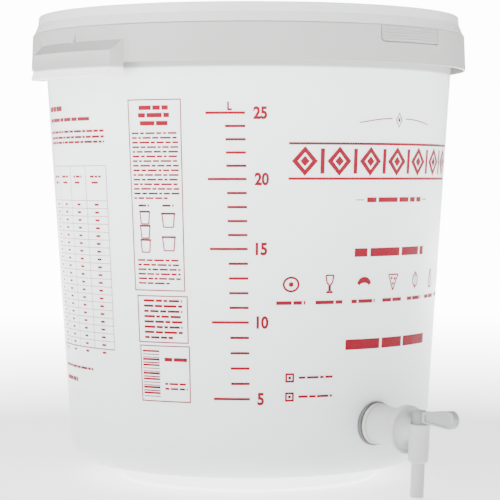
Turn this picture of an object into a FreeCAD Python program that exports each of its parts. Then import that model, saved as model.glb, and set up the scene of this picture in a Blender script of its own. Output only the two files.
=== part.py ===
"""Plastic fermenting bucket with press-on lid and plug tap, in millimetres, +Z up.

The origin is the centre of the face the bucket stands on. The tap is at the front (-Y). An azimuth
is counted round the bucket from the tap towards +X. The tap's own pieces are drawn in a frame whose
origin is where the tap's axis meets the outside of the wall: outwards is -Y there, and up is +Z.
"""
import FreeCAD, Part
import Sketcher
import math
import os

V = FreeCAD.Vector
Rotation = FreeCAD.Rotation
Placement = FreeCAD.Placement
UP = V(0, 0, 1)

# ---------------------------------------------------------------------------------------------
# Driving dimensions: alias, value, meaning
# ---------------------------------------------------------------------------------------------
SIZES = [
    ("base_rad", 155.9, "outer radius of the tub's cone at the base plane"),
    ("taper", 0.0643, "growth of the tub's radius per millimetre of height"),
    ("wall", 2.2, "thickness of the tub's wall"),
    ("floor_top", 3.4, "height of the inside of the floor"),
    ("foot_rad", 122.0, "inner radius of the foot ring"),
    ("foot_groove", 6.0, "width of the groove inside the foot ring"),
    ("foot_groove_deep", 1.4, "depth of that groove"),
    ("heel_out", 22.0, "outer rounding between wall and foot"),
    ("heel_in", 20.0, "inner rounding between wall and floor"),
    ("rim_top", 383.2, "height of the tub's rim"),
    ("bead_rad", 182.3, "outer radius of the bead along the rim"),
    ("bead_deep", 4.0, "height of the bead"),
    ("bead_fade", 2.0, "height over which the bead runs out into the wall"),
    ("web_low", 354.4, "underside of the web between wall and collar"),
    ("web_thick", 2.0, "thickness of the web"),
    ("collar_low", 340.3, "lower edge of the collar"),
    ("collar_high", 370.5, "upper edge of the collar"),
    ("collar_low_rad", 190.8, "outer radius of the collar's lower edge"),
    ("collar_high_rad", 189.6, "outer radius of the collar's upper edge"),
    ("collar_wall", 1.7, "thickness of the collar"),
    ("edge_round", 0.5, "rounding of thin moulded edges"),
    ("gusset_low", 344.0, "lower end of the gussets under the web"),
    ("gusset_slope", 4.0, "rise of a gusset's foot towards the wall"),
    ("gusset_thick", 1.5, "thickness of a gusset"),
    ("gusset_count", 8, "gussets round the collar, clear of the grips and the tear tab"),
    ("grip_half", 17.0, "half the angle of a grip where it meets the collar, degrees"),
    ("grip_face_half", 14.9, "half the angle of a grip's front face, degrees"),
    ("grip_root", 358.3, "height where a grip's sloping top leaves the collar"),
    ("grip_brow", 349.6, "height of the edge between a grip's top and front"),
    ("grip_brow_rad", 200.0, "radius of that edge"),
    ("grip_low", 328.3, "lower edge of a grip"),
    ("grip_lip_flat", 1.2, "height of the upright lip below the grip's brow curve"),
    ("grip_end_wall", 1.2, "angle that both ends of a grip's hollow give up to its walls, degrees"),
    ("grip_lip_rad", 203.4, "radius of a grip's lower lip"),
    ("grip_hollow", 40.0, "radius of the hollow curve of a grip's front"),
    ("grip_wall", 1.9, "wall thickness of a grip"),
    ("grip_rib_half", 0.55, "half the angle of the rib above a grip, degrees"),
    ("grip_rib_top", 366.0, "upper end of the rib above a grip"),
    ("grip_rib_out", 1.3, "how far that rib stands out"),
    ("tab_azimuth", 4.1, "azimuth of the middle of the tear tab, degrees"),
    ("tab_half", 10.6, "half the angle of the tear tab, degrees"),
    ("bridge_inset", 6.0, "angle by which the row of bridges is shorter than the tab, degrees"),
    ("tab_low", 357.6, "lower edge of the tear tab"),
    ("tab_high", 370.3, "upper edge of the tear tab"),
    ("tab_corner", 3.0, "rounding of the tear tab's lower corners"),
    ("tab_slot", 0.9, "width of the slot round the tear tab"),
    ("tab_slot_turn", 0.27, "the same slot as an angle, degrees"),
    ("tab_rib_out", 0.7, "how far the tear tab's finger ribs stand out"),
    ("tab_rib_count", 5, "finger ribs on the tear tab"),
    ("bridge_turn", 0.36, "angle of one bridge under the tear tab, degrees"),
    ("bridge_count", 12, "bridges along the tear tab's lower edge"),
    ("bridge_gap", 0.05, "play between a bridge's end and the collar"),
    ("lid_panel", 372.0, "upper face of the lid's panel"),
    ("lid_thick", 1.8, "thickness of the lid"),
    ("lean", 0.6, "how far a moulded foot or shoulder leans in over its height"),
    ("lid_top", 387.0, "top of the lid's raised ring"),
    ("lid_top_rad", 184.2, "outer radius of the raised ring's top"),
    ("lid_crease", 379.0, "height of the crease between ring and shoulder"),
    ("lid_crease_rad", 185.1, "radius of that crease"),
    ("lid_lip", 371.0, "height of the shoulder's lower edge"),
    ("lid_lip_rad", 188.7, "radius of the shoulder's lower edge"),
    ("lid_skirt_rad", 187.2, "outer radius of the skirt inside the collar"),
    ("lid_skirt_low", 362.4, "lower edge of that skirt"),
    ("lid_inner_top_rad", 175.9, "inner radius of the raised ring at its top"),
    ("lid_inner_low_rad", 175.2, "inner radius of the raised ring at the panel"),
    ("lid_leg_low", 366.0, "lower end of the lid's inner leg"),
    ("lid_step_rad", 160.0, "radius of the rib that centres a stacked bucket"),
    ("lid_step_rise", 2.5, "height of that rib"),
    ("lid_step_wide", 2.4, "width of that rib"),
    ("gasket_thick", 1.6, "thickness of the lid's gasket"),
    ("port_out", 112.0, "distance of the bung's hole from the lid's centre, towards +Y"),
    ("port_rad", 13.0, "radius of the bung's hole"),
    ("port_boss_rad", 18.0, "outer radius of the boss round that hole"),
    ("port_boss_rise", 2.0, "height of that boss above the panel"),
    ("bung_rad", 12.9, "radius of the bung where it enters the lid"),
    ("bung_low_rad", 11.4, "radius of the bung's lower end"),
    ("bung_deep", 18.0, "length of the bung below its head"),
    ("bung_head_rad", 16.0, "radius of the bung's head"),
    ("bung_head", 6.0, "height of the bung's head"),
    ("bung_bore", 4.6, "radius of the hole for the fermentation tube"),
    ("stopper_rad", 4.5, "radius of the stopper's stem"),
    ("stopper_deep", 15.0, "length of the stopper's stem"),
    ("stopper_head_rad", 7.5, "radius of the stopper's head"),
    ("stopper_head", 3.6, "height of the stopper's head"),
    ("seat_gap", 0.05, "play under the heads of the bung, the stopper and the tap's hub"),
    ("tap_height", 43.7, "height of the tap's axis at the wall"),
    ("tap_tilt", 2.8, "how far the tap's axis dips outwards, degrees"),
    ("tap_hole", 13.8, "radius of the hole in the wall"),
    ("thread_rad", 13.2, "outer radius of the tap's thread"),
    ("thread_pitch", 1.8, "pitch of the thread"),
    ("thread_lead", 1.2, "distance of the first turn of thread from the tail's end"),
    ("thread_deep", 0.9, "depth of the thread"),
    ("thread_count", 6, "turns of thread that show"),
    ("tail_end", 20.0, "length of the threaded tail inside the wall's outer face"),
    ("washer_rad", 18.3, "radius of both washers"),
    ("washer_out", 2.6, "outer face of the outer washer from the wall's outer face"),
    ("washer_in", 5.6, "inner face of the inner washer from the wall's outer face"),
    ("flange_rad", 17.3, "radius of the tap's flange"),
    ("flange_thick", 4.2, "thickness of the flange"),
    ("flange_bevel", 0.8, "bevel at the back of the flange"),
    ("barrel_rad", 16.3, "radius of the barrel at the flange"),
    ("barrel_end_rad", 15.4, "radius of the barrel at the round collar"),
    ("ring_near", 34.0, "where the round collar starts"),
    ("ring_far", 40.4, "where the round collar ends"),
    ("ring_rad", 20.2, "radius of the round collar"),
    ("ring_round", 1.8, "rounding of the round collar"),
    ("dome_far", 47.0, "where the dome in front of the round collar ends"),
    ("dome_rad", 8.0, "radius of the dome's end"),
    ("dome_curve", 13.0, "radius of the dome's curve"),
    ("bore_rad", 8.0, "radius of the barrel's bore"),
    ("housing_out", 52.0, "distance of the housing's axis from the wall"),
    ("housing_rad", 8.7, "radius of the housing"),
    ("housing_top", 6.6, "top of the housing above the tap's axis"),
    ("housing_low", 25.0, "lower end of the housing below the tap's axis"),
    ("housing_bevel", 2.0, "bevel at the housing's lower end"),
    ("spout_rad", 5.65, "radius of the spout"),
    ("spout_bevel", 0.6, "bevel round the spout's end"),
    ("spout_low", 53.6, "end of the spout below the tap's axis"),
    ("spout_bore", 4.1, "radius of the spout's bore"),
    ("plug_bore", 6.6, "radius of the housing's bore"),
    ("plug_rad", 6.55, "radius of the plug that turns in it"),
    ("plug_low", 20.0, "lower end of the plug below the tap's axis"),
    ("plug_hollow", 4.2, "radius of the plug's hollow"),
    ("plug_port", 4.0, "radius of the plug's side port"),
    ("plug_roof", 4.6, "top of the plug's hollow above the tap's axis"),
    ("hub_rad", 6.3, "radius of the hub on top of the plug"),
    ("hub_foot_rad", 7.0, "radius of the hub's foot on the housing"),
    ("hub_foot", 0.8, "thickness of the hub's foot"),
    ("hub_space", 0.2, "room round the hub's foot where the dome comes close"),
    ("hub_top", 18.0, "top of the hub above the tap's axis"),
    ("hub_round", 3.2, "rounding of the hub's top"),
    ("tang_wide", 3.0, "width of the lever's tang in the hub"),
    ("tang_reach", 10.0, "length of the tang's slot from the hub's axis"),
    ("tang_low", 9.4, "lower edge of the tang above the tap's axis"),
    ("tang_high", 15.2, "upper edge of the tang above the tap's axis"),
    ("lever_near", 5.6, "where the lever starts, from the hub's axis"),
    ("lever_far", 34.0, "centre of the lever's round end, from the hub's axis"),
    ("lever_near_low", 8.2, "lower edge of the lever at the hub"),
    ("lever_near_high", 17.6, "upper edge of the lever at the hub"),
    ("lever_end_low", 6.9, "lowest point of the lever's round end"),
    ("lever_end_high", 21.7, "highest point of the lever's round end"),
    ("lever_thick", 6.8, "thickness of the lever"),
    ("lever_rim", 1.9, "width of the rim round the lever's sunk sides"),
    ("lever_sunk", 1.1, "depth of the lever's sunk sides"),
    ("lever_round", 0.9, "rounding of the lever's edges"),
    ("nut_flats", 36.0, "width of the nut across its flats"),
    ("nut_thick", 9.5, "thickness of the nut"),
    ("nut_bore", 13.25, "radius of the nut's bore"),
]

doc = FreeCAD.newDocument("fermenting_bucket")
sheet = doc.addObject("Spreadsheet::Sheet", "Sizes")
for row, (alias, number, meaning) in enumerate(SIZES, start=1):
    sheet.set(f"A{row}", meaning)
    sheet.set(f"B{row}", str(number))
    sheet.setAlias(f"B{row}", alias)
doc.recompute()

ALIASES = {alias for alias, number, meaning in SIZES}


def bound(expression):
    """The expression with every alias pointing at the sheet."""
    words = []
    word = ""
    for letter in expression + " ":
        if letter.isalnum() or letter == "_":
            word += letter
            continue
        words.append(f"Sizes.{word}" if word in ALIASES else word)
        words.append(letter)
        word = ""
    return "".join(words).strip()


def value(expression):
    """The number that an expression of sheet aliases stands for."""
    return float(sheet.evalExpression(bound(expression)))


# ---------------------------------------------------------------------------------------------
# Sketch and feature helpers
# ---------------------------------------------------------------------------------------------
def new_body(label, placement=Placement()):
    """An empty body that becomes the node called label."""
    body = doc.addObject("PartDesign::Body", label)
    body.Label = label
    body.Placement = placement
    return body


def new_sketch(body, name, role, lift=0.0, turn=0.0):
    """A sketch on an origin plane, lifted along its normal and turned about its upright axis."""
    sketch = body.newObject("Sketcher::SketchObject", name)
    plane = next(item for item in body.Origin.OriginFeatures if item.Role == role)
    sketch.AttachmentSupport = [(plane, "")]
    sketch.MapMode = "FlatFace"
    sketch.AttachmentOffset = Placement(V(0, 0, lift), Rotation(V(0, 1, 0), turn))
    return sketch


def bend(start, end, radius):
    """Arc from start to end, curving left of the way for a positive radius, right for a negative."""
    half = (end - start) * 0.5
    rise = math.sqrt(radius ** 2 - half.Length ** 2)
    side = V(-half.y, half.x, 0).normalize() * math.copysign(rise, radius)
    centre = start + half + side
    angles = [math.atan2(p.y - centre.y, p.x - centre.x) for p in (start, end)]
    if radius < 0:
        angles.reverse()
    return Part.ArcOfCircle(Part.Circle(centre, UP, abs(radius)), *angles)


def draw(sketch, corners):
    """Closed outline. A corner is (x, y) or (x, y, radius of the arc to the next corner)."""
    spots = [V(value(corner[0]), value(corner[1]), 0) for corner in corners]
    ends = []
    for index, corner in enumerate(corners):
        start = spots[index]
        end = spots[(index + 1) % len(spots)]
        if len(corner) == 2:
            edge = sketch.addGeometry(Part.LineSegment(start, end), False)
            ends.append((edge, 1, 2))
            continue
        radius = value(corner[2])
        edge = sketch.addGeometry(bend(start, end, radius), False)
        ends.append((edge, 1, 2) if radius > 0 else (edge, 2, 1))
    for index, corner in enumerate(corners):
        edge, first, last = ends[index]
        following, following_first, _ = ends[(index + 1) % len(ends)]
        sketch.addConstraint(Sketcher.Constraint("Coincident", edge, last, following, following_first))
        for kind, expression, number in (("DistanceX", corner[0], spots[index].x),
                                         ("DistanceY", corner[1], spots[index].y)):
            constraint = sketch.addConstraint(Sketcher.Constraint(kind, -1, 1, edge, first, number))
            sketch.setExpression(f"Constraints[{constraint}]", bound(expression))
        if len(corner) == 3:
            size = sketch.addConstraint(Sketcher.Constraint("Radius", edge, abs(value(corner[2]))))
            sketch.setExpression(f"Constraints[{size}]", bound(f"abs({corner[2]})"))
    doc.recompute()
    return sketch


def turned(body, kind, name, sketch, axis="V_Axis", angle="360"):
    """Revolution or Groove of a sketch, half of the angle to each side of its plane."""
    feature = body.newObject(f"PartDesign::{kind}", name)
    feature.Profile = sketch
    feature.ReferenceAxis = (sketch, [axis])
    feature.Midplane = True
    feature.setExpression("Angle", bound(angle))
    doc.recompute()
    return feature


def padded(body, kind, name, sketch, length):
    """Pad or Pocket of a sketch, half of the length to each side of its plane."""
    feature = body.newObject(f"PartDesign::{kind}", name)
    feature.Profile = sketch
    feature.Midplane = True
    feature.setExpression("Length", bound(length))
    doc.recompute()
    return feature


def drilled(body, name, radius, height, base, direction):
    """Round hole from base along direction."""
    hole = body.newObject("PartDesign::SubtractiveCylinder", name)
    hole.Placement = Placement(base, Rotation(UP, direction))
    hole.setExpression("Radius", bound(radius))
    hole.setExpression("Height", bound(height))
    doc.recompute()
    return hole


def circled(body, name, originals, count, angle="360"):
    """Polar pattern of features about the body's Z axis."""
    pattern = body.newObject("PartDesign::PolarPattern", name)
    pattern.Originals = originals
    upright = next(item for item in body.Origin.OriginFeatures if item.Role == "Z_Axis")
    pattern.Axis = (upright, [""])
    pattern.setExpression("Angle", bound(angle))
    pattern.setExpression("Occurrences", bound(count))
    body.Tip = pattern
    doc.recompute()
    return pattern


def rounded(body, name, size, wanted):
    """Fillet of the tip's edges for which wanted(edge) is true."""
    base = body.Tip
    names = [f"Edge{number}" for number, edge in enumerate(base.Shape.Edges, start=1) if wanted(edge)]
    fillet = body.newObject("PartDesign::Fillet", name)
    fillet.Base = (base, names)
    fillet.setExpression("Radius", bound(size))
    doc.recompute()
    return fillet


def ring_at(*rings):
    """Test for circular edges about Z with one of the given (radius, height) pairs."""
    def test(edge):
        if not isinstance(edge.Curve, Part.Circle) or abs(edge.Curve.Axis.z) < 0.99:
            return False
        centre = edge.Curve.Center
        return any(math.hypot(centre.x, centre.y) < 0.01 and abs(edge.Curve.Radius - value(radius)) < TOUCH
                   and abs(centre.z - value(height)) < TOUCH for radius, height in rings)
    return test


def cone_at(height, inset="0"):
    """Expression for the tub's radius at a height, less an inset."""
    return f"base_rad + taper * ({height}) - ({inset})"


def collar_at(height, inset="0"):
    """Expression for the collar's outer radius at a height, less an inset."""
    slope = "(collar_low_rad - collar_high_rad) / (collar_high - collar_low)"
    return f"collar_high_rad + {slope} * (collar_high - ({height})) - ({inset})"


# The azimuth of a sketch drawn on the XZ plane is 90 degrees, so it turns by azimuth - 90.
SIDE = 90.0
TOUCH = 0.02        # how close an edge must be to a stated place to be picked, mm
TAP_FRAME = Placement(V(0, -value(cone_at("tap_height")), value("tap_height")),
                      Rotation(V(1, 0, 0), value("tap_tilt")))


# ---------------------------------------------------------------------------------------------
# The tub and what is moulded in one with it
# ---------------------------------------------------------------------------------------------
def make_bucket():
    body = new_body("bucket")
    web_high = "web_low + web_thick"
    section = draw(new_sketch(body, "tub_section", "XZ_Plane"), [
        ("0", "floor_top"),
        (cone_at("floor_top", "wall"), "floor_top"),
        (cone_at("rim_top", "wall"), "rim_top"),
        ("bead_rad", "rim_top"),
        ("bead_rad", "rim_top - bead_deep"),
        (cone_at("rim_top - bead_deep - bead_fade"), "rim_top - bead_deep - bead_fade"),
        (cone_at(web_high), web_high),
        (collar_at(web_high, "collar_wall"), web_high),
        (collar_at("collar_high", "collar_wall"), "collar_high"),
        ("collar_high_rad", "collar_high"),
        ("collar_low_rad", "collar_low"),
        (collar_at("collar_low", "collar_wall"), "collar_low"),
        (collar_at("web_low", "collar_wall"), "web_low"),
        (cone_at("web_low"), "web_low"),
        (cone_at("0"), "0"),
        ("foot_rad", "0"),
        ("foot_rad", "foot_groove_deep"),
        ("foot_rad - foot_groove", "foot_groove_deep"),
        ("foot_rad - foot_groove", "0"),
        ("0", "0"),
    ])
    turned(body, "Revolution", "tub", section)
    rounded(body, "heel_outside", "heel_out", ring_at((cone_at("0"), "0")))
    rounded(body, "heel_inside", "heel_in", ring_at((cone_at("floor_top", "wall"), "floor_top")))
    rounded(body, "thin_edges", "edge_round", ring_at(
        ("collar_high_rad", "collar_high"), ("collar_low_rad", "collar_low"),
        ("bead_rad", "rim_top"), (cone_at("rim_top", "wall"), "rim_top")))

    gusset = draw(new_sketch(body, "gusset_section", "XZ_Plane", turn=SIDE / 4), [
        (cone_at("gusset_low + gusset_slope", "wall / 2"), "web_low + web_thick / 2"),
        (cone_at("gusset_low + gusset_slope", "wall / 2"), "gusset_low + gusset_slope"),
        (collar_at("gusset_low", "collar_wall / 2"), "gusset_low"),
        (collar_at("web_low", "collar_wall / 2"), "web_low + web_thick / 2"),
    ])
    first = padded(body, "Pad", "gusset", gusset, "gusset_thick")
    circled(body, "gussets", [first], "gusset_count")

    grip = draw(new_sketch(body, "grip_section", "XZ_Plane"), [
        (collar_at("grip_root", "collar_wall / 2"), "grip_root"),
        (collar_at("collar_low", "collar_wall / 2"), "collar_low"),
        (collar_at("collar_low", "collar_wall / 2"), "grip_low"),
        ("grip_lip_rad", "grip_low"),
        ("grip_lip_rad", "grip_low + grip_lip_flat", "-grip_hollow"),
        ("grip_brow_rad", "grip_brow"),
        (collar_at("grip_root"), "grip_root"),
    ])
    block = turned(body, "Revolution", "grip", grip, angle="2 * grip_half")

    bevel_near = value("grip_face_half")
    bevel_far = value("grip_half")
    near = value("collar_high_rad")
    far = value("grip_lip_rad") + 3.0
    bevels = new_sketch(body, "grip_bevel_plan", "XY_Plane", lift=value("grip_low + grip_root") / 2)
    for side in (-1, 1):
        spots = []
        for radius, angle in ((near, bevel_far), (far, bevel_near - 0.6), (far, bevel_far + 2),
                              (near, bevel_far + 2)):
            around = math.radians(side * angle)
            spots.append(V(radius * math.cos(around), radius * math.sin(around), 0))
        for start, end in zip(spots, spots[1:] + spots[:1]):
            bevels.addGeometry(Part.LineSegment(start, end), False)
    cut = padded(body, "Pocket", "grip_bevels", bevels, "grip_root - grip_low + 10")

    hollow = draw(new_sketch(body, "grip_hollow_section", "XZ_Plane"), [
        (cone_at("grip_brow", "-0.4"), "grip_low - 2"),
        ("grip_lip_rad - grip_wall - 0.6", "grip_low - 2"),
        ("grip_lip_rad - grip_wall - 0.6", "grip_low + grip_lip_flat", "-grip_hollow"),
        ("grip_brow_rad - grip_wall", "grip_brow - 1.2"),
        (collar_at("web_low", "-1"), "web_low - 0.4"),
        (cone_at("grip_brow", "-0.4"), "web_low - 0.4"),
    ])
    inside = turned(body, "Groove", "grip_inside", hollow, angle="2 * grip_face_half - grip_end_wall")

    rib = draw(new_sketch(body, "grip_rib_section", "XZ_Plane"), [
        (collar_at("grip_root", "collar_wall / 2"), "grip_root - 1"),
        (collar_at("grip_root", "-grip_rib_out - 0.6"), "grip_root - 1"),
        (collar_at("grip_rib_top", "-0.1"), "grip_rib_top"),
        (collar_at("grip_rib_top", "collar_wall / 2"), "grip_rib_top"),
    ])
    above = turned(body, "Revolution", "grip_rib", rib, angle="2 * grip_rib_half")
    circled(body, "both_grips", [block, cut, inside, above], "2")

    window = draw(new_sketch(body, "tab_window_section", "XZ_Plane", turn=value("tab_azimuth") - SIDE), [
        (collar_at("tab_low", "collar_wall + 1"), "tab_low - tab_slot"),
        (collar_at("tab_low", "-2"), "tab_low - tab_slot"),
        (collar_at("tab_low", "-2"), "collar_high + 2"),
        (collar_at("tab_low", "collar_wall + 1"), "collar_high + 2"),
    ])
    turned(body, "Groove", "tab_window", window, angle="2 * (tab_half + tab_slot_turn)")
    rounded(body, "window_corners", "tab_corner + tab_slot", short_radial_edge("tab_low - tab_slot"))

    drilled(body, "tap_hole", "tap_hole", "20", TAP_FRAME.multVec(V(0, 10, 0)),
            TAP_FRAME.Rotation.multVec(V(0, -1, 0)))
    return body


def short_radial_edge(height):
    """Test for short straight edges that cross the collar's thickness at a height."""
    def test(edge):
        if not isinstance(edge.Curve, Part.Line) or edge.Length > 4:
            return False
        ends = [vertex.Point for vertex in edge.Vertexes]
        return all(abs(end.z - value(height)) < TOUCH for end in ends)
    return test


def make_tear_tab():
    body = new_body("tear_tab")
    turn = value("tab_azimuth") - SIDE
    outline = [(collar_at("tab_low", "collar_wall"), "tab_low"), (collar_at("tab_low"), "tab_low")]
    ribs = int(value("tab_rib_count"))
    for number in range(ribs):
        lower = f"tab_low + (tab_high - tab_low) * {(2 * number + 1) / (2 * ribs + 1)}"
        upper = f"tab_low + (tab_high - tab_low) * {(2 * number + 2) / (2 * ribs + 1)}"
        outline += [(collar_at(lower), lower), (collar_at(lower, "-tab_rib_out"), f"{lower} + 0.25"),
                    (collar_at(upper, "-tab_rib_out"), f"{upper} - 0.25"), (collar_at(upper), upper)]
    outline += [(collar_at("tab_high"), "tab_high"), (collar_at("tab_high", "collar_wall"), "tab_high")]
    section = draw(new_sketch(body, "tab_section", "XZ_Plane", turn=turn), outline)
    turned(body, "Revolution", "tab", section, angle="2 * tab_half")
    rounded(body, "tab_corners", "tab_corner", short_radial_edge("tab_low"))

    spread = value("2 * tab_half - bridge_inset")
    step = spread / (value("bridge_count") - 1)
    bridge = draw(new_sketch(body, "bridge_section", "XZ_Plane", turn=turn - spread / 2), [
        (collar_at("tab_low", "collar_wall - 0.4"), "tab_low - tab_slot + bridge_gap"),
        (collar_at("tab_low", "0.4"), "tab_low - tab_slot + bridge_gap"),
        (collar_at("tab_low", "0.4"), "tab_low + 0.3"),
        (collar_at("tab_low", "collar_wall - 0.4"), "tab_low + 0.3"),
    ])
    first = turned(body, "Revolution", "bridge", bridge, angle="bridge_turn")
    circled(body, "bridges", [first], "bridge_count", angle=f"{step} * (bridge_count - 1)")
    return body


# ---------------------------------------------------------------------------------------------
# The lid and what sits in it
# ---------------------------------------------------------------------------------------------
def make_lid():
    body = new_body("lid")
    section = draw(new_sketch(body, "lid_section", "XZ_Plane"), [
        ("0", "lid_panel"),
        ("lid_step_rad", "lid_panel"),
        ("lid_step_rad + 0.3", "lid_panel + lid_step_rise"),
        ("lid_step_rad + lid_step_wide - 0.3", "lid_panel + lid_step_rise"),
        ("lid_step_rad + lid_step_wide", "lid_panel"),
        ("lid_inner_low_rad", "lid_panel"),
        ("lid_inner_top_rad", "lid_top"),
        ("lid_top_rad", "lid_top"),
        ("lid_crease_rad", "lid_crease"),
        ("lid_lip_rad", "lid_lip"),
        ("lid_skirt_rad", "lid_lip"),
        ("lid_skirt_rad", "lid_skirt_low"),
        ("lid_skirt_rad - 1.5", "lid_skirt_low"),
        ("lid_skirt_rad - 1.5", "lid_lip + lean"),
        ("lid_crease_rad - 1.7", "lid_crease - 0.6"),
        ("lid_top_rad - 1.4", "lid_top - lid_thick"),
        ("lid_inner_top_rad + lid_thick", "lid_top - lid_thick"),
        ("lid_inner_low_rad + lid_thick", "lid_leg_low"),
        ("lid_inner_low_rad", "lid_leg_low"),
        ("lid_inner_low_rad - 0.4", "lid_panel - lid_thick"),
        ("0", "lid_panel - lid_thick"),
    ])
    turned(body, "Revolution", "lid_moulding", section)
    rounded(body, "lid_edges", "2 * edge_round", ring_at(
        ("lid_top_rad", "lid_top"), ("lid_inner_top_rad", "lid_top")))
    rounded(body, "lid_lip_edge", "edge_round", ring_at(("lid_lip_rad", "lid_lip")))

    boss = body.newObject("PartDesign::AdditiveCylinder", "port_boss")
    boss.Placement = Placement(V(0, value("port_out"), value("lid_panel - lid_thick")), Rotation())
    boss.setExpression("Radius", bound("port_boss_rad"))
    boss.setExpression("Height", bound("lid_thick + port_boss_rise"))
    doc.recompute()
    drilled(body, "port", "port_rad", "20", V(0, value("port_out"), value("lid_panel") - 10), UP)
    return body


def make_lid_gasket():
    body = new_body("lid_gasket")
    top = "lid_top - lid_thick"
    section = draw(new_sketch(body, "gasket_section", "XZ_Plane"), [
        ("lid_inner_top_rad + lid_thick + 0.3", f"{top} - gasket_thick"),
        ("lid_top_rad - 1.9", f"{top} - gasket_thick"),
        ("lid_top_rad - 1.9", top),
        ("lid_inner_top_rad + lid_thick + 0.3", top),
    ])
    turned(body, "Revolution", "gasket", section)
    return body


def port_frame():
    """Frame of the bung: on the hole's axis at the top of the boss."""
    return Placement(V(0, value("port_out"), value("lid_panel + port_boss_rise")), Rotation())


def make_bung():
    body = new_body("airlock_bung", port_frame())
    section = draw(new_sketch(body, "bung_section", "XZ_Plane"), [
        ("bung_bore", "-bung_deep"),
        ("bung_low_rad", "-bung_deep"),
        ("bung_rad", "-lid_thick - port_boss_rise - 1"),
        ("bung_rad", "seat_gap"),
        ("bung_head_rad", "seat_gap"),
        ("bung_head_rad - 0.8", "bung_head"),
        ("bung_bore", "bung_head"),
    ])
    turned(body, "Revolution", "bung", section)
    rounded(body, "bung_edges", "2 * edge_round", ring_at(
        ("bung_head_rad - 0.8", "bung_head"), ("bung_low_rad", "-bung_deep")))
    return body


def make_stopper():
    body = new_body("bung_stopper", port_frame())
    foot = "bung_head + seat_gap"
    section = draw(new_sketch(body, "stopper_section", "XZ_Plane"), [
        ("0", f"{foot} - stopper_deep"),
        ("stopper_rad - lean", f"{foot} - stopper_deep"),
        ("stopper_rad", f"{foot} - stopper_deep + 2"),
        ("stopper_rad", foot),
        ("stopper_head_rad", foot),
        ("stopper_head_rad", f"{foot} + stopper_head"),
        ("0", f"{foot} + stopper_head"),
    ])
    turned(body, "Revolution", "stopper", section)
    rounded(body, "stopper_edges", "2 * edge_round", ring_at(
        ("stopper_head_rad", f"{foot} + stopper_head")))
    return body


# ---------------------------------------------------------------------------------------------
# The tap
# ---------------------------------------------------------------------------------------------
def make_tap_body():
    body = new_body("tap_body", TAP_FRAME)
    barrel = draw(new_sketch(body, "barrel_section", "YZ_Plane"), [
        ("tail_end", "0"),
        ("-dome_far - 3", "0"),
        ("-dome_far - 3", "dome_rad"),
        ("-dome_far", "dome_rad", "dome_curve"),
        ("-ring_far", "ring_rad - 4"),
        ("-ring_far", "ring_rad"),
        ("-ring_near", "ring_rad"),
        ("-ring_near", "barrel_end_rad"),
        ("-washer_out - flange_thick", "barrel_rad"),
        ("-washer_out - flange_thick", "flange_rad"),
        ("-washer_out - flange_bevel", "flange_rad"),
        ("-washer_out", "flange_rad - flange_bevel"),
        ("-washer_out", "thread_rad"),
        ("tail_end - 1", "thread_rad"),
        ("tail_end", "thread_rad - 1"),
    ])
    turned(body, "Revolution", "barrel", barrel, axis="H_Axis")

    def collar_rim(edge):
        return (isinstance(edge.Curve, Part.Circle) and abs(edge.Curve.Radius - value("ring_rad")) < TOUCH
                and abs(edge.Curve.Axis.y) > 0.99)

    rounded(body, "collar_edges", "ring_round", collar_rim)

    housing = draw(new_sketch(body, "housing_section", "XZ_Plane", lift=value("housing_out")), [
        ("0", "-spout_low"),
        ("spout_rad - spout_bevel", "-spout_low"),
        ("spout_rad", "spout_bevel - spout_low"),
        ("spout_rad", "-housing_low"),
        ("housing_rad - housing_bevel", "-housing_low"),
        ("housing_rad - 0.3", "housing_bevel - housing_low"),
        ("housing_rad", "housing_top"),
        ("0", "housing_top"),
    ])
    turned(body, "Revolution", "housing", housing)

    thread = draw(new_sketch(body, "thread_section", "YZ_Plane"), [
        ("tail_end - thread_lead", "thread_rad + 0.3"),
        ("tail_end - thread_lead - thread_pitch / 2", "thread_rad - thread_deep"),
        ("tail_end - thread_lead - thread_pitch", "thread_rad + 0.3"),
    ])
    groove = turned(body, "Groove", "thread_groove", thread, axis="H_Axis")
    turns = body.newObject("PartDesign::LinearPattern", "thread")
    turns.Originals = [groove]
    along = next(item for item in body.Origin.OriginFeatures if item.Role == "Y_Axis")
    turns.Direction = (along, [""])
    turns.Reversed = True
    turns.setExpression("Length", bound("thread_pitch * (thread_count - 1)"))
    turns.setExpression("Occurrences", bound("thread_count"))
    body.Tip = turns
    doc.recompute()

    axis_out = -value("housing_out")
    drilled(body, "barrel_bore", "bore_rad", "tail_end + housing_out - housing_rad - 2",
            V(0, value("tail_end"), 0), V(0, -1, 0))
    drilled(body, "inner_port", "plug_port + 0.4", "housing_rad + 4",
            V(0, axis_out + value("housing_rad") + 4, 0), V(0, -1, 0))
    drilled(body, "plug_chamber", "plug_bore", "plug_low + housing_top + 1",
            V(0, axis_out, -value("plug_low + seat_gap")), UP)
    drilled(body, "spout_bore", "spout_bore", "spout_low", V(0, axis_out, -value("spout_low")), UP)
    drilled(body, "hub_space", "hub_foot_rad + hub_space", "hub_top - housing_top",
            V(0, axis_out, value("housing_top")), UP)
    return body


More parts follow.
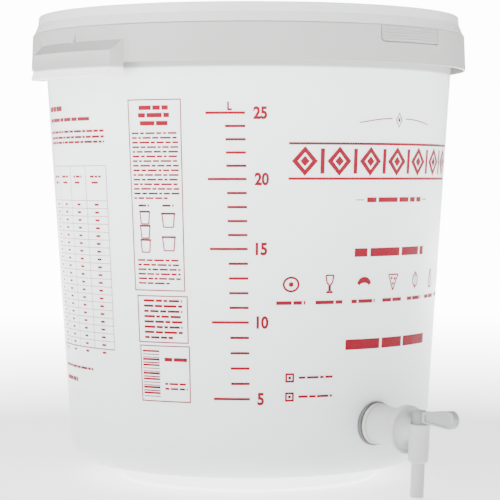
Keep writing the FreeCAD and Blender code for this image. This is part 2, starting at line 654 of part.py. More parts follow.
def make_tap_plug():
    body = new_body("tap_plug", TAP_FRAME)
    foot = "housing_top + seat_gap"
    section = draw(new_sketch(body, "plug_section", "XZ_Plane", lift=value("housing_out")), [
        ("0", "plug_roof"),
        ("plug_hollow", "plug_roof"),
        ("plug_hollow", "-plug_low"),
        ("plug_rad", "-plug_low"),
        ("plug_rad", foot),
        ("hub_foot_rad", foot),
        ("hub_foot_rad", f"{foot} + hub_foot"),
        ("hub_rad", f"{foot} + hub_foot"),
        ("hub_rad", "hub_top"),
        ("0", "hub_top"),
    ])
    turned(body, "Revolution", "plug", section)
    axis_out = -value("housing_out")

    def hub_brim(edge):
        return (isinstance(edge.Curve, Part.Circle) and abs(edge.Curve.Radius - value("hub_rad")) < TOUCH
                and abs(edge.Curve.Center.z - value("hub_top")) < TOUCH)

    rounded(body, "hub_edge", "hub_round", hub_brim)
    drilled(body, "side_port", "plug_port", "plug_rad + 1", V(0, axis_out, 0), V(0, 1, 0))
    slot = body.newObject("PartDesign::SubtractiveBox", "tang_slot")
    slot.Placement = Placement(
        V(-value("tang_wide") / 2, axis_out - value("tang_reach"), value("tang_low")), Rotation())
    slot.setExpression("Length", bound("tang_wide"))
    slot.setExpression("Width", bound("tang_reach"))
    slot.setExpression("Height", bound("tang_high - tang_low"))
    doc.recompute()
    return body


def make_tap_lever():
    body = new_body("tap_lever", TAP_FRAME)
    reach = "-housing_out - lever_far"
    root = "-housing_out - lever_near"
    end_rad = "(lever_end_high - lever_end_low) / 2 + 0.02"
    plate = draw(new_sketch(body, "lever_side", "YZ_Plane"), [
        (root, "lever_near_low"),
        (root, "lever_near_high"),
        (reach, "lever_end_high", end_rad),
        (reach, "lever_end_low"),
    ])
    padded(body, "Pad", "lever", plate, "lever_thick")

    def long_edge(edge):
        middle = edge.valueAt((edge.FirstParameter + edge.LastParameter) / 2)
        return abs(middle.x) > value("lever_thick") / 2 - TOUCH and middle.y < value(root) - 1

    rounded(body, "lever_edges", "lever_round", long_edge)

    half_thick = value("lever_thick") / 2
    for name, side in (("left", -1), ("right", 1)):
        sunk = draw(new_sketch(body, f"sunk_{name}_side", "YZ_Plane", lift=side * half_thick), [
            (f"{root} - 3", "lever_near_low + lever_rim"),
            (f"{root} - 3", "lever_near_high - lever_rim"),
            (f"{reach} + 1", "lever_end_high - lever_rim - 0.4", f"{end_rad} - lever_rim"),
            (f"{reach} + 1", "lever_end_low + lever_rim"),
        ])
        padded(body, "Pocket", f"sunk_{name}", sunk, "2 * lever_sunk")

    clear = body.newObject("PartDesign::SubtractiveCylinder", "hub_clearance")
    clear.Placement = Placement(V(0, -value("housing_out"), 0), Rotation())
    clear.setExpression("Radius", bound("hub_rad"))
    clear.setExpression("Height", bound("hub_top + lever_end_high"))
    doc.recompute()
    tang = body.newObject("PartDesign::AdditiveBox", "tang")
    tang.Placement = Placement(V(-value("tang_wide") / 2, -value("housing_out + hub_rad + 1"),
                                 value("tang_low")), Rotation())
    tang.setExpression("Length", bound("tang_wide"))
    tang.setExpression("Width", bound("hub_rad + 1"))
    tang.setExpression("Height", bound("tang_high - tang_low"))
    doc.recompute()
    return body


def make_tap_nut():
    body = new_body("tap_nut", TAP_FRAME)
    near = value("washer_in")
    far = near + value("nut_thick")
    plan = new_sketch(body, "nut_plan", "XZ_Plane", lift=-(near + far) / 2)
    corner = value("nut_flats") / math.sqrt(3)
    spots = [V(corner * math.cos(math.radians(60 * turn)), corner * math.sin(math.radians(60 * turn)), 0)
             for turn in range(6)]
    for start, end in zip(spots, spots[1:] + spots[:1]):
        plan.addGeometry(Part.LineSegment(start, end), False)
    padded(body, "Pad", "hexagon", plan, "nut_thick")
    bevel = draw(new_sketch(body, "nut_bevel", "YZ_Plane"), [
        ("washer_in + nut_thick + 1", "nut_flats / 2 - 1"),
        ("washer_in + nut_thick + 1", "nut_flats / 2 + 5"),
        ("washer_in + nut_thick - 3", "nut_flats / 2 + 5"),
    ])
    turned(body, "Groove", "nut_bevels", bevel, axis="H_Axis")
    drilled(body, "nut_thread", "nut_bore", "nut_thick + 2", V(0, far + 1, 0), V(0, -1, 0))
    return body


def make_washer(label, start, finish, other, keep_inside):
    """Washer from start to finish along the tap's axis, its back shaped to the wall's cone."""
    disc = doc.addObject("Part::Cylinder", f"{label}_disc")
    disc.setExpression("Radius", bound("washer_rad"))
    hole = doc.addObject("Part::Cylinder", f"{label}_hole")
    hole.setExpression("Radius", bound("thread_rad + seat_gap"))
    for cylinder in (disc, hole):
        cylinder.Placement = TAP_FRAME.multiply(Placement(V(0, -value(start), 0), Rotation(V(1, 0, 0), 90)))
        cylinder.setExpression("Height", bound(f"({finish}) - ({start})"))
    ring = doc.addObject("Part::Cut", f"{label}_ring")
    ring.Base = disc
    ring.Tool = hole
    cone = doc.addObject("Part::Cone", f"{label}_wall")
    cone.setExpression("Radius1", bound(cone_at("0", other)))
    cone.setExpression("Radius2", bound(cone_at("2 * tap_height", other)))
    cone.setExpression("Height", bound("2 * tap_height"))
    washer = doc.addObject("Part::Common" if keep_inside else "Part::Cut", label)
    washer.Base = ring
    washer.Tool = cone
    washer.Label = label
    doc.recompute()
    return washer


def make_all():
    """Every sub-part of the assembly."""
    return [
        make_bucket(),
        make_tear_tab(),
        make_lid(),
        make_lid_gasket(),
        make_bung(),
        make_stopper(),
        make_tap_body(),
        make_tap_plug(),
        make_tap_lever(),
        make_tap_nut(),
        make_washer("tap_washer_outer", "-3", "washer_out", "0", keep_inside=False),
        make_washer("tap_washer_inner", "-washer_in", "0", "wall", keep_inside=True),
    ]


def check(parts):
    """Stop if any object of the document failed or any sub-part is not one valid solid."""
    doc.recompute()
    for item in doc.Objects:
        if "Invalid" in item.State or "Error" in item.State:
            raise RuntimeError(f"{item.Label} failed: {item.State}")
    for part in parts:
        shape = part.Shape
        if shape.isNull() or not shape.isValid() or len(shape.Solids) != 1:
            raise RuntimeError(f"{part.Label}: null, invalid or not one solid ({len(shape.Solids)})")


parts = make_all()
check(parts)
os.makedirs("parts", exist_ok=True)
for part in parts:
    part.Shape.exportStep(f"parts/{part.Label}.step")
    print(f"{part.Label:18s} {part.Shape.Volume / 1000:9.2f} cm3")
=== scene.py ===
"""Looks of the plastic fermenting bucket: materials, printed scale and panels, light and camera."""
import math

import bmesh
import bpy
from mathutils import Matrix, Vector


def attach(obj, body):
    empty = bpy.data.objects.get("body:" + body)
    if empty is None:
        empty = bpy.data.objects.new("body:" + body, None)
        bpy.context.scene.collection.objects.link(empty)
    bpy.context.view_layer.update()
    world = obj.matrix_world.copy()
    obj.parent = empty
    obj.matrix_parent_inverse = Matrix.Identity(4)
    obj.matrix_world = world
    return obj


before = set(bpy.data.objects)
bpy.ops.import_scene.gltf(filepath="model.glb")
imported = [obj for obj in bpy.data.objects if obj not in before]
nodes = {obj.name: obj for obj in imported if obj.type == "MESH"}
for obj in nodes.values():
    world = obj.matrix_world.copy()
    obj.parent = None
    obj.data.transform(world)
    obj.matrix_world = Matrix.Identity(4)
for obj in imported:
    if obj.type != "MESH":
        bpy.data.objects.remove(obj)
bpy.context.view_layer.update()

# ---------------------------------------------------------------------------------------------
# Sizes, in metres and degrees. An azimuth is counted round the tub from the tap (-Y) towards +X.
# ---------------------------------------------------------------------------------------------
MM = 0.001
BASE_RADIUS = 155.9 * MM          # the tub's cone at the base plane
TAPER = 0.0643                    # growth of its radius per unit of height
CAMERA_AZIMUTH = -41.0
CAMERA_DISTANCE = 1.765
CAMERA_HEIGHT = 0.2465
CAMERA_PITCH = 2.06
CAMERA_ROLL = 0.0
CAMERA_YAW = -0.04
CAMERA_LENS = 143.3
INK_LIFT = 0.12 * MM              # how far the ink's face stands off the plastic
FLOOR_DEPTH = 15.0 * MM           # the floor lies below the base, so that the spout hangs clear
PLINTH_RADIUS = 112 * MM
SOFT_LIGHT = 0.33
BACKDROP_LIGHT = 14.0
FLOOR_GLOW = 1.7


def around(azimuth, radius, height):
    """Point at an azimuth in degrees, a radius and a height."""
    angle = math.radians(azimuth)
    return Vector((radius * math.sin(angle), -radius * math.cos(angle), height))


def tub_radius(height):
    return BASE_RADIUS + TAPER * height


# ---------------------------------------------------------------------------------------------
# Materials
# ---------------------------------------------------------------------------------------------
class Shader:
    """A material with one Principled shader and short calls for its nodes."""

    def __init__(self, name, roughness, **sockets):
        self.material = bpy.data.materials.new(name)
        self.material.use_nodes = True
        self.tree = self.material.node_tree
        self.surface = self.tree.nodes["Principled BSDF"]
        self.surface.inputs["Roughness"].default_value = roughness
        for socket, number in sockets.items():
            self.surface.inputs[socket.replace("_", " ")].default_value = number
        self.place = self.tree.nodes.new("ShaderNodeTexCoord").outputs["Object"]

    def link(self, source, target):
        self.tree.links.new(source, target)

    def stretched(self, scale):
        """The object's coordinates, scaled per axis."""
        mapping = self.tree.nodes.new("ShaderNodeMapping")
        mapping.inputs["Scale"].default_value = scale
        self.link(self.place, mapping.inputs["Vector"])
        return mapping.outputs["Vector"]

    def noise(self, scale, detail=3.0, stretch=(1, 1, 1)):
        texture = self.tree.nodes.new("ShaderNodeTexNoise")
        texture.inputs["Scale"].default_value = scale
        texture.inputs["Detail"].default_value = detail
        self.link(self.stretched(stretch), texture.inputs["Vector"])
        return texture.outputs["Fac"]

    def ramp(self, factor, *stops):
        """Colour ramp through (position, colour) stops."""
        ramp = self.tree.nodes.new("ShaderNodeValToRGB")
        elements = ramp.color_ramp.elements
        while len(elements) < len(stops):
            elements.new(0.5)
        for element, (position, colour) in zip(elements, stops):
            element.position = position
            element.color = (*colour, 1.0)
        self.link(factor, ramp.inputs["Fac"])
        return ramp.outputs["Color"]

    def grey_range(self, factor, low, high, start=0.3, end=0.7):
        """A factor brought between two numbers."""
        span = self.tree.nodes.new("ShaderNodeMapRange")
        span.inputs["From Min"].default_value = start
        span.inputs["From Max"].default_value = end
        span.inputs["To Min"].default_value = low
        span.inputs["To Max"].default_value = high
        self.link(factor, span.inputs["Value"])
        return span.outputs["Result"]

    def bump(self, *layers):
        """Bump from (height output, strength, distance) layers, one on the other."""
        normal = None
        for height, strength, distance in layers:
            bump = self.tree.nodes.new("ShaderNodeBump")
            bump.inputs["Strength"].default_value = strength
            bump.inputs["Distance"].default_value = distance
            self.link(height, bump.inputs["Height"])
            if normal is not None:
                self.link(normal, bump.inputs["Normal"])
            normal = bump.outputs["Normal"]
        self.link(normal, self.surface.inputs["Normal"])


def thick_above(shader, colour, height, painted_shade_tone):
    """Darkens a colour above a height: painted shade, standing for the light that ribs behind the plastic
    keep from shining through.
    """
    split = shader.tree.nodes.new("ShaderNodeSeparateXYZ")
    shader.link(shader.place, split.inputs["Vector"])
    share = shader.grey_range(split.outputs["Z"], 0.0, 1.0, height - 1 * MM, height + 1 * MM)
    mix = shader.tree.nodes.new("ShaderNodeMix")
    mix.data_type = "RGBA"
    mix.blend_type = "MULTIPLY"
    shader.link(share, mix.inputs["Factor"])
    shader.link(colour, mix.inputs["A"])
    mix.inputs["B"].default_value = (*painted_shade_tone, 1.0)
    return mix.outputs["Result"]


def moulded_plastic(name, light, dark, roughness, grain=900.0, grain_deep=0.02 * MM, painted_collar_shade=None, **sockets):
    """Moulded plastic: cloudy colour, uneven gloss and a fine grain from the mould."""
    shader = Shader(name, roughness, **sockets)
    clouds = shader.noise(9.0, 4.0, stretch=(1, 1, 0.45))
    colour = shader.ramp(clouds, (0.35, dark), (0.65, light))
    # Above the collar's height the colour is darkened: painted shade.
    if painted_collar_shade:
        colour = thick_above(shader, colour, *painted_collar_shade)
    shader.link(colour, shader.surface.inputs["Base Color"])
    gloss = shader.noise(38.0, 4.0)
    shader.link(shader.grey_range(gloss, roughness - 0.05, roughness + 0.07),
                shader.surface.inputs["Roughness"])
    fine = shader.noise(grain, 2.0)
    waves = shader.noise(16.0, 2.0, stretch=(1, 1, 0.35))
    shader.bump((fine, 0.35, grain_deep), (waves, 0.25, 0.25 * MM))
    return shader.material


def rubber(name, light, dark, roughness=0.62):
    """Rubber: mottled colour, dull, with a fine bloom."""
    shader = Shader(name, roughness)
    shader.link(shader.ramp(shader.noise(140.0, 5.0), (0.35, dark), (0.65, light)),
                shader.surface.inputs["Base Color"])
    shader.link(shader.grey_range(shader.noise(420.0, 3.0), roughness - 0.1, roughness + 0.12),
                shader.surface.inputs["Roughness"])
    shader.bump((shader.noise(1500.0, 2.0), 0.5, 0.03 * MM))
    return shader.material


def print_ink(name):
    """Deep red screen-printed ink, a little uneven in density."""
    shader = Shader(name, 0.55, Specular_IOR_Level=0.12)
    density = shader.noise(520.0, 4.0)
    shader.link(shader.ramp(density, (0.3, (0.175, 0.0010, 0.010)), (0.7, (0.215, 0.0014, 0.013))),
                shader.surface.inputs["Base Color"])
    shader.link(shader.grey_range(shader.noise(240.0), 0.5, 0.64), shader.surface.inputs["Roughness"])
    shader.bump((shader.noise(1400.0, 2.0), 0.15, 0.004 * MM))
    return shader.material


def stage_material(name, brightness, glow):
    """Pale matt floor that glows, a painted light that grows stronger away from the object until it meets the
    backdrop.
    """
    shader = Shader(name, 0.9)
    shade = shader.noise(2.0, 2.0)
    low = (brightness - 0.01,) * 3
    shader.link(shader.ramp(shade, (0.3, low), (0.7, (brightness,) * 3)), shader.surface.inputs["Base Color"])
    # The floor's glow is painted light, growing with distance from the object.
    shader.surface.inputs["Emission Color"].default_value = (1, 1, 1, 1)
    spread = shader.tree.nodes.new("ShaderNodeVectorMath")
    spread.operation = "LENGTH"
    shader.link(shader.place, spread.inputs[0])
    shader.link(shader.grey_range(spread.outputs["Value"], glow, BACKDROP_LIGHT, 0.45, 2.2),
                shader.surface.inputs["Emission Strength"])
    return shader.material


PLASTIC_LIGHT = dict(Subsurface_Weight=0.22, Subsurface_Scale=0.006)
# The tub's collar, above 336 mm, is darkened by about 0.42 of the wall's colour: painted shade.
TUB = moulded_plastic("tub_plastic", (0.845, 0.855, 0.86), (0.815, 0.825, 0.83), 0.36,
                      painted_collar_shade=(336 * MM, (0.42, 0.42, 0.41)), **PLASTIC_LIGHT)
# The lid's grey is darker than the white of its plastic: painted shade.
LID = moulded_plastic("lid_plastic", (0.57, 0.575, 0.57), (0.53, 0.535, 0.53), 0.36, **PLASTIC_LIGHT)
TAP = moulded_plastic("tap_plastic", (0.52, 0.53, 0.53), (0.48, 0.49, 0.49), 0.32, **PLASTIC_LIGHT)
LEVER = moulded_plastic("lever_plastic", (0.33, 0.345, 0.35), (0.29, 0.305, 0.31), 0.22)
PLUG = moulded_plastic("plug_plastic", (0.24, 0.245, 0.25), (0.20, 0.205, 0.21), 0.25)
WASHER = rubber("washer_rubber", (0.16, 0.155, 0.15), (0.115, 0.11, 0.105))
GASKET = rubber("gasket_rubber", (0.62, 0.62, 0.59), (0.55, 0.55, 0.52))
BUNG = rubber("bung_rubber", (0.30, 0.085, 0.05), (0.22, 0.06, 0.035))
INK = print_ink("print_ink")

NODE_MATERIALS = {
    "bucket": TUB, "tear_tab": TUB, "lid": LID, "lid_gasket": GASKET,
    "airlock_bung": BUNG, "bung_stopper": BUNG,
    "tap_body": TAP, "tap_nut": TAP, "tap_plug": PLUG, "tap_lever": LEVER,
    "tap_washer_outer": WASHER, "tap_washer_inner": WASHER,
}
for node, material in NODE_MATERIALS.items():
    for material_slot in nodes[node].material_slots:
        material_slot.material = material


# ---------------------------------------------------------------------------------------------
# Print on the tub. It is drawn flat, an azimuth in degrees across and a height in mm up, and
# each point is then laid on the wall's cone, a little proud of it.
# ---------------------------------------------------------------------------------------------
MARKS = {25: (-41.9, 298.9), 20: (-41.5, 246.0), 15: (-41.2, 189.8), 10: (-40.9, 130.4), 5: (-40.6, 68.0)}
MARK_LONG = 10.5                  # length of the marks with numbers, degrees
MARK_SHORT = 5.4                  # length of the litre ticks, degrees
MARK_THICK = 2.0
FRONT = 4.2                       # azimuth of the middle of the print on the front
COLUMN_STEP = 11.4                # from one icon to the next, degrees
WORD_LENGTHS = (7, 4, 9, 5, 3, 8, 6, 10, 4, 7, 5, 9, 3, 6, 8)


class Print:
    """Flat shapes of ink that end up as one object on the wall."""

    def __init__(self, name):
        self.name = name
        self.mesh = bmesh.new()

    def face(self, points):
        corners = [self.mesh.verts.new(around(azimuth, tub_radius(height * MM) + INK_LIFT, height * MM))
                   for azimuth, height in points]
        patch = self.mesh.faces.new(corners)
        patch.normal_update()
        outward = patch.calc_center_median() * Vector((1, 1, 0))
        if patch.normal.dot(outward) < 0:
            patch.normal_flip()

    def bar(self, left, right, low, high):
        """Rectangle, cut into strips that follow the wall."""
        steps = max(1, math.ceil((right - left) / 1.2))
        for step in range(steps):
            start = left + (right - left) * step / steps
            end = left + (right - left) * (step + 1) / steps
            self.face([(start, low), (end, low), (end, high), (start, high)])

    def frame(self, left, right, low, high, thick=0.9):
        across = thick / 3.0
        self.bar(left, right, low, low + thick)
        self.bar(left, right, high - thick, high)
        self.bar(left, left + across, low + thick, high - thick)
        self.bar(right - across, right, low + thick, high - thick)

    def words(self, left, right, middle, tall, start=0, gap=0.45):
        """A line of plain bars where a line of lettering would be."""
        place = left
        turn = start
        while place < right - 0.3:
            end = min(place + WORD_LENGTHS[turn % len(WORD_LENGTHS)] * tall * 0.21, right)
            self.bar(place, end, middle - tall / 2, middle + tall / 2)
            place = end + gap
            turn += 1

    def paragraph(self, left, right, top, low, pitch, tall, start=0):
        row = 0
        while top - row * pitch > low:
            short = (right - left) * (0.25 if top - (row + 1) * pitch <= low else 0)
            self.words(left, right - short, top - row * pitch, tall, start + 3 * row)
            row += 1

    def band(self, outer, inner):
        """Closed band between two rings of the same number of points."""
        count = len(outer)
        for spot in range(count):
            after = (spot + 1) % count
            self.face([outer[spot], outer[after], inner[after], inner[spot]])

    def fan(self, middle, rim):
        for start, end in zip(rim, rim[1:] + rim[:1]):
            self.face([middle, start, end])

    def stroke(self, points, thick):
        """Line of even thickness through (azimuth, height) points."""
        for (a0, h0), (a1, h1) in zip(points, points[1:]):
            stretch = math.radians(1) * tub_radius(h0 * MM) / MM
            run, rise = (a1 - a0) * stretch, h1 - h0
            length = math.hypot(run, rise)
            da, dh = -rise / length * thick / 2 / stretch, run / length * thick / 2
            self.face([(a0 - da, h0 - dh), (a1 - da, h1 - dh), (a1 + da, h1 + dh), (a0 + da, h0 + dh)])

    def done(self, body="bucket"):
        data = bpy.data.meshes.new(self.name)
        self.mesh.to_mesh(data)
        self.mesh.free()
        return place_print(self.name, data, body)


def place_print(name, data, body="bucket"):
    data.materials.append(INK)
    thing = bpy.data.objects.new(name, data)
    bpy.context.collection.objects.link(thing)
    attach(thing, body)
    return thing


def per_degree(height):
    """Length of a degree round the wall, in mm."""
    return math.radians(1) * tub_radius(height * MM) / MM


def oval(azimuth, height, wide, tall, start=0, end=360, steps=28):
    """Points of an arc, wide and tall in mm."""
    points = []
    for step in range(steps):
        angle = math.radians(start + (end - start) * step / (steps if end - start == 360 else steps - 1))
        points.append((azimuth + wide / 2 * math.cos(angle) / per_degree(height),
                       height + tall / 2 * math.sin(angle)))
    return points


def lettering(name, text, left, middle, tall):
    """A number or letter from Blender's own font, laid on the wall."""
    curve = bpy.data.curves.new(name + "_curve", "FONT")
    curve.body = text
    curve.offset = 0.042
    flat = bpy.data.objects.new(name + "_flat", curve)
    bpy.context.collection.objects.link(flat)
    bpy.context.view_layer.update()
    data = bpy.data.meshes.new_from_object(flat.evaluated_get(bpy.context.evaluated_depsgraph_get()))
    bpy.data.objects.remove(flat)
    data.name = name
    low = min(vertex.co.y for vertex in data.vertices)
    high = max(vertex.co.y for vertex in data.vertices)
    start = min(vertex.co.x for vertex in data.vertices)
    size = tall / (high - low)
    for vertex in data.vertices:
        azimuth = left + (vertex.co.x - start) * size * 0.86 / per_degree(middle)
        height = middle + (vertex.co.y - (low + high) / 2) * size
        vertex.co = around(azimuth, tub_radius(height * MM) + INK_LIFT, height * MM)
    return place_print(name, data)


def print_scale():
    marks = Print("scale_marks")
    for right, height in MARKS.values():
        marks.bar(right - MARK_LONG, right, height - MARK_THICK / 2, height + MARK_THICK / 2)
    levels = sorted(MARKS)
    for low, high in zip(levels, levels[1:]):
        for litre in range(low + 1, high):
            share = (litre - low) / (high - low)
            right = MARKS[low][0] + share * (MARKS[high][0] - MARKS[low][0])
            height = MARKS[low][1] + share * (MARKS[high][1] - MARKS[low][1])
            marks.bar(right - MARK_SHORT, right, height - MARK_THICK / 2, height + MARK_THICK / 2)
    marks.done()
    for litre, (right, height) in MARKS.items():
        lettering(f"scale_number_{litre}", str(litre), right + 2.1, height, 10.4)
    lettering("scale_unit", "L", -46.6, 304.3, 7.0)


def small_bucket(ink, azimuth, low, tall=10.0, wide=9.0):
    """Outline of a tapered bucket with a lid."""
    half, foot = wide / 2 / per_degree(low), wide * 0.4 / per_degree(low)
    ink.stroke([(azimuth - half, low + tall), (azimuth - foot, low), (azimuth + foot, low),
                (azimuth + half, low + tall)], 1.0)
    ink.bar(azimuth - half * 1.15, azimuth + half * 1.15, low + tall - 0.8, low + tall + 0.8)


def print_panels():
    upper = Print("panel_upper")
    upper.frame(-75.0, -59.0, 155.0, 310.4)
    for middle, half in ((303.5, 4.4), (297.5, 4.7), (291.0, 4.2)):
        upper.words(-67.1 - half, -67.1 + half, middle, 3.6, start=int(middle))
    upper.paragraph(-74.0, -60.0, 283.0, 228.0, 3.75, 1.5)
    for azimuth in (-71.0, -63.5):
        upper.words(azimuth - 1.7, azimuth + 1.7, 224.5, 1.7)
    for level in (186.5, 198.0, 209.5):
        small_bucket(upper, -70.8, level)
    for level in (188.0, 207.0):
        small_bucket(upper, -63.5, level, 11.0, 11.0)
    upper.paragraph(-73.6, -60.2, 180.0, 159.0, 3.75, 1.5, start=5)
    upper.done()
    middle = Print("panel_middle")
    middle.frame(-74.3, -58.3, 112.5, 151.3)
    middle.paragraph(-72.2, -60.0, 147.0, 116.0, 4.3, 1.9, start=2)
    middle.done()
    lower = Print("panel_lower")
    lower.frame(-74.0, -58.0, 64.0, 110.4)
    for line in range(17):
        height = 68.0 + line * 2.3
        lower.bar(-73.2, -67.6, height, height + (0.7, 1.5, 1.0, 1.7, 0.6)[line % 5])
    lower.words(-66.0, -58.9, 99.0, 3.0, start=1)
    lower.words(-66.0, -58.9, 79.0, 1.6, start=4)
    lower.words(-66.0, -58.9, 75.0, 1.6, start=8)
    lower.done()


def print_chart():
    chart = Print("chart")
    left, right, top, low, header = -118.0, -84.0, 257.0, 104.0, 228.0
    columns = (left, -110.5, -102.0, -93.3, right)
    rows = [header - 6.5 * row for row in range(20) if header - 6.5 * row > low]
    for height in [top, *rows, low]:
        chart.bar(left, right, height - 0.2, height + 0.2)
    for azimuth in columns:
        chart.bar(azimuth - 0.08, azimuth + 0.08, low, top)
    for start, end in zip(columns, columns[1:]):
        middle = (start + end) / 2
        chart.words(middle - 2.4, middle + 2.4, 248.0, 1.7, start=int(-start))
        chart.words(middle - 1.8, middle + 1.8, 243.0, 1.7, start=int(-start) + 2)
        for height in rows:
            chart.bar(middle - 0.9, middle + 0.9, height - 4.2, height - 2.5)
    chart.done()
    notes = Print("chart_notes")
    notes.words(-118.0, -105.4, 305.6, 4.2, start=3)
    notes.words(-118.0, -89.7, 296.0, 3.0, start=6)
    for line, height in enumerate((285.8, 281.0, 276.8)):
        notes.words(-118.0, -84.1, height, 1.9, start=4 * line)
    notes.words(-118.0, -95.0, 86.0, 2.0, start=2)
    notes.words(-118.0, -106.0, 75.0, 3.4, start=7)
    notes.done()


def diamond(ink, azimuth, height, wide, tall, thick):
    """Diamond outline, with a solid one inside it."""
    outer = oval(azimuth, height, wide, tall, steps=4)
    ink.band(outer, oval(azimuth, height, wide - 2 * thick, tall - 2 * thick, steps=4))
    ink.fan((azimuth, height), oval(azimuth, height, wide * 0.36, tall * 0.36, steps=4))


def print_front():
    ornament = Print("front_ornament")
    low, high = 245.3, 275.6
    for height in (low, high - 2.0):
        ornament.bar(-30.3, 38.7, height, height + 2.0)
    for step in range(7):
        azimuth = FRONT + (step - 3) * 10.0
        diamond(ornament, azimuth, (low + high) / 2, 22.0, 24.0, 5.0)
        if step < 6:
            ornament.bar(azimuth + 4.4, azimuth + 5.6, low + 5.0, high - 5.0)
    ornament.done()

    emblem = Print("front_emblem")
    diamond(emblem, FRONT, 294.5, 8.0, 13.0, 1.2)
    for start, advance in ((-10.0, 1.15), (18.5, -1.15)):
        emblem.stroke([(start + step * advance, 291.6 + 3.9 * math.sin(math.pi / 2 * step / 10))
                       for step in range(11)], 0.8)
    emblem.done()

    lines = Print("front_lines")
    lines.words(-6.5, 16.8, 229.0, 4.0, start=1, gap=0.8)
    lines.bar(-10.2, -7.6, 228.6, 229.4)
    lines.bar(17.8, 20.4, 228.6, 229.4)
    lines.words(-10.0, 20.4, 186.0, 7.0, start=4, gap=1.1)
    lines.words(-12.0, 25.0, 110.5, 8.5, start=9, gap=1.0)
    for height in (85.0, 69.4):
        lines.frame(-30.4, -27.8, height - 3.8, height + 3.8, 1.6)
        lines.fan((-29.1, height), oval(-29.1, height, 2.6, 2.6, steps=16))
        lines.words(-26.4, -15.9, height, 1.9, start=int(height))
    lines.done()


def print_icons():
    icons = Print("front_icons")
    level = 161.0
    spots = [-29.1 + COLUMN_STEP * step for step in range(7)]
    wide = 1 / per_degree(level)

    def outline(azimuth, points, thick=1.3):
        """Closed line through points given in mm from the icon's middle."""
        shape = [(azimuth + x * wide, level + y) for x, y in points]
        icons.stroke(shape + shape[:1], thick)

    icons.band(oval(spots[0], level, 14, 13), oval(spots[0], level, 10.5, 9.5))
    icons.fan((spots[0], level), oval(spots[0], level, 4, 4))
    outline(spots[1], [(-3.5, 7), (3.5, 7), (2.5, 1), (0.5, -1), (0.5, -6), (3, -7), (-3, -7),
                       (-0.5, -6), (-0.5, -1), (-2.5, 1)])
    outer = oval(spots[2], level - 2, 15, 14, 15, 165)
    inner = oval(spots[2], level - 3, 10, 6, 15, 165)
    for step in range(len(outer) - 1):
        icons.face([outer[step], outer[step + 1], inner[step + 1], inner[step]])
    outline(spots[3], [(-6, 6), (6, 6), (0, -7)], 1.2)
    for x, y in ((-2, 3), (2, 2.5), (0, -1.5)):
        icons.fan((spots[3] + x * wide, level + y), oval(spots[3] + x * wide, level + y, 2.4, 2.4, steps=12))
    outline(spots[4], [(0, 7), (4, 2), (3.5, -3), (0, -6), (-3.5, -3), (-4, 2)])
    icons.stroke([(spots[4], level + 5), (spots[4], level - 7.5)], 0.9)
    outline(spots[5], [(-1.2, 7.5), (1.2, 7.5), (1.2, 3), (3, 0), (3, -7), (-3, -7), (-3, 0), (-1.2, 3)])
    outline(spots[6], [(-5, -6), (5, -6), (5, 2), (0, 7), (-5, 2)])
    for number, spot in enumerate(spots):
        icons.words(spot - 4.2, spot + 4.2, 146.0, 3.0, start=number * 2, gap=0.5)
    icons.done()


print_scale()
print_panels()
print_chart()
print_front()
print_icons()


# ---------------------------------------------------------------------------------------------
# Stage, camera and light
# ---------------------------------------------------------------------------------------------
def disc(name, radius, top, depth, material):
    """Round slab with a softened rim."""
    mesh = bmesh.new()
    bmesh.ops.create_cone(mesh, cap_ends=True, segments=128, radius1=radius, radius2=radius, depth=depth)
    rim = [edge for edge in mesh.edges if abs(edge.verts[0].co.z - edge.verts[1].co.z) < depth / 2]
    bmesh.ops.bevel(mesh, geom=rim, offset=min(depth / 3, 2 * MM), segments=3, affect="EDGES")
    bmesh.ops.translate(mesh, verts=mesh.verts, vec=(0, 0, top - depth / 2))
    data = bpy.data.meshes.new(name)
    mesh.to_mesh(data)
    mesh.free()
    thing = bpy.data.objects.new(name, data)
    data.materials.append(material)
    bpy.context.collection.objects.link(thing)


def make_stage():
    white = stage_material("stage_white", 0.86, FLOOR_GLOW)
    disc("floor", 6.0, -FLOOR_DEPTH, 10 * MM, white)
    disc("plinth", PLINTH_RADIUS, -0.3 * MM, FLOOR_DEPTH - 0.4 * MM, white)


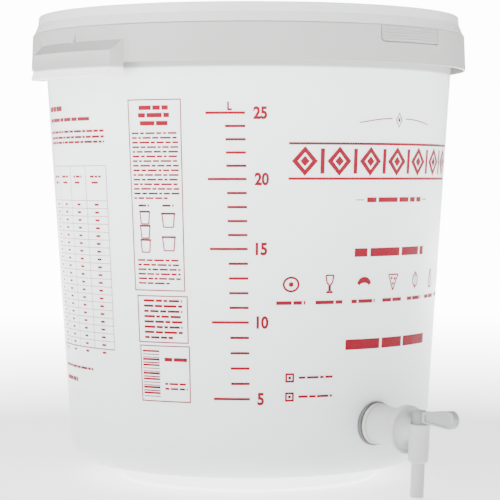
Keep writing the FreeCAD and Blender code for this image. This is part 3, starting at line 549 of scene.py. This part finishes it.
def area_light(name, azimuth, elevation, distance, size, power, target=(0, 0, 0.2)):
    """Soft square light that faces the target."""
    light = bpy.data.lights.new(name, "AREA")
    light.shape = "RECTANGLE"
    light.size, light.size_y = size
    light.energy = power
    thing = bpy.data.objects.new(name, light)
    level = distance * math.cos(math.radians(elevation))
    thing.location = around(azimuth, level, target[2] + distance * math.sin(math.radians(elevation)))
    facing = Vector(target) - thing.location
    thing.rotation_euler = facing.to_track_quat("-Z", "Y").to_euler()
    bpy.context.collection.objects.link(thing)


def make_light():
    """White studio: a bright backdrop that lights the object only softly, and large soft lights."""
    world = bpy.data.worlds.new("studio")
    bpy.context.scene.world = world
    world.use_nodes = True
    tree = world.node_tree
    soft = tree.nodes["Background"]
    soft.inputs["Color"].default_value = (1, 1, 1, 1)
    soft.inputs["Strength"].default_value = SOFT_LIGHT
    backdrop = tree.nodes.new("ShaderNodeBackground")
    backdrop.inputs["Color"].default_value = (1, 1, 1, 1)
    backdrop.inputs["Strength"].default_value = BACKDROP_LIGHT
    ray = tree.nodes.new("ShaderNodeLightPath")
    mix = tree.nodes.new("ShaderNodeMixShader")
    tree.links.new(ray.outputs["Is Camera Ray"], mix.inputs["Fac"])
    tree.links.new(soft.outputs["Background"], mix.inputs[1])
    tree.links.new(backdrop.outputs["Background"], mix.inputs[2])
    tree.links.new(mix.outputs["Shader"], tree.nodes["World Output"].inputs["Surface"])
    area_light("key", CAMERA_AZIMUTH - 48, 30, 2.2, (1.3, 1.3), 46)
    area_light("side", CAMERA_AZIMUTH + 12, 22, 2.4, (0.5, 1.6), 10)
    area_light("top", CAMERA_AZIMUTH, 80, 2.0, (1.4, 1.4), 22)


def make_camera():
    camera = bpy.data.cameras.new("camera")
    camera.sensor_width = 36.0
    camera.lens = CAMERA_LENS
    camera.clip_end = 50
    thing = bpy.data.objects.new("camera", camera)
    thing.location = around(CAMERA_AZIMUTH, CAMERA_DISTANCE, CAMERA_HEIGHT)
    turn = Matrix.Rotation(math.radians(CAMERA_AZIMUTH + CAMERA_YAW), 4, "Z")
    tilt = Matrix.Rotation(math.radians(90 - CAMERA_PITCH), 4, "X")
    roll = Matrix.Rotation(math.radians(CAMERA_ROLL), 4, "Z")
    thing.rotation_euler = (turn @ tilt @ roll).to_euler()
    bpy.context.collection.objects.link(thing)
    bpy.context.scene.camera = thing


make_stage()
make_light()
make_camera()
